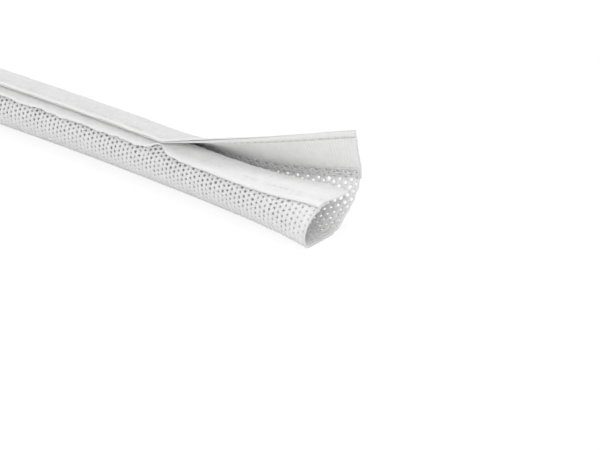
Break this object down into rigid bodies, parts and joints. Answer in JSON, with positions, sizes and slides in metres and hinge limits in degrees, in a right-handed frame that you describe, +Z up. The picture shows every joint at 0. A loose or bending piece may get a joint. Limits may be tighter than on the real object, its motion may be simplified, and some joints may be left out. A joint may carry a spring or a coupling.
{
  "type": "hook and loop cable sleeve",
  "caption": "White open-mesh cable sleeve with a soft loop tape edge and a hook tape flap, closed along most of its length and peeled open at its mouth.",
  "frame": {"origin": "middle of the sleeve's bounding box, on the surface that it rests on", "axes": "+X along the sleeve towards its open mouth, +Y towards the side that the flap is rooted on, +Z up"},
  "size_m": [0.25, 0.0404, 0.0435],
  "materials": {
    "mesh_yarn": "soft white knitted yarn, matt",
    "loop_pile": "brushed white loop pile, matt",
    "hook_face": "ribbed pale grey hook face, slightly shiny",
    "cover_weave": "close white weave, matt",
    "sewing_thread": "pale grey twisted thread"
  },
  "bodies": {
    "root": {"mesh_panel": "mesh_yarn", "loop_tape": "loop_pile", "hook_tape": "hook_face", "flap_cover": "cover_weave", "loop_tape_thread": "sewing_thread", "flap_edge_thread": "sewing_thread", "hook_tape_thread": "sewing_thread", "flap_root_thread": "sewing_thread"}
  },
  "joints": []
}
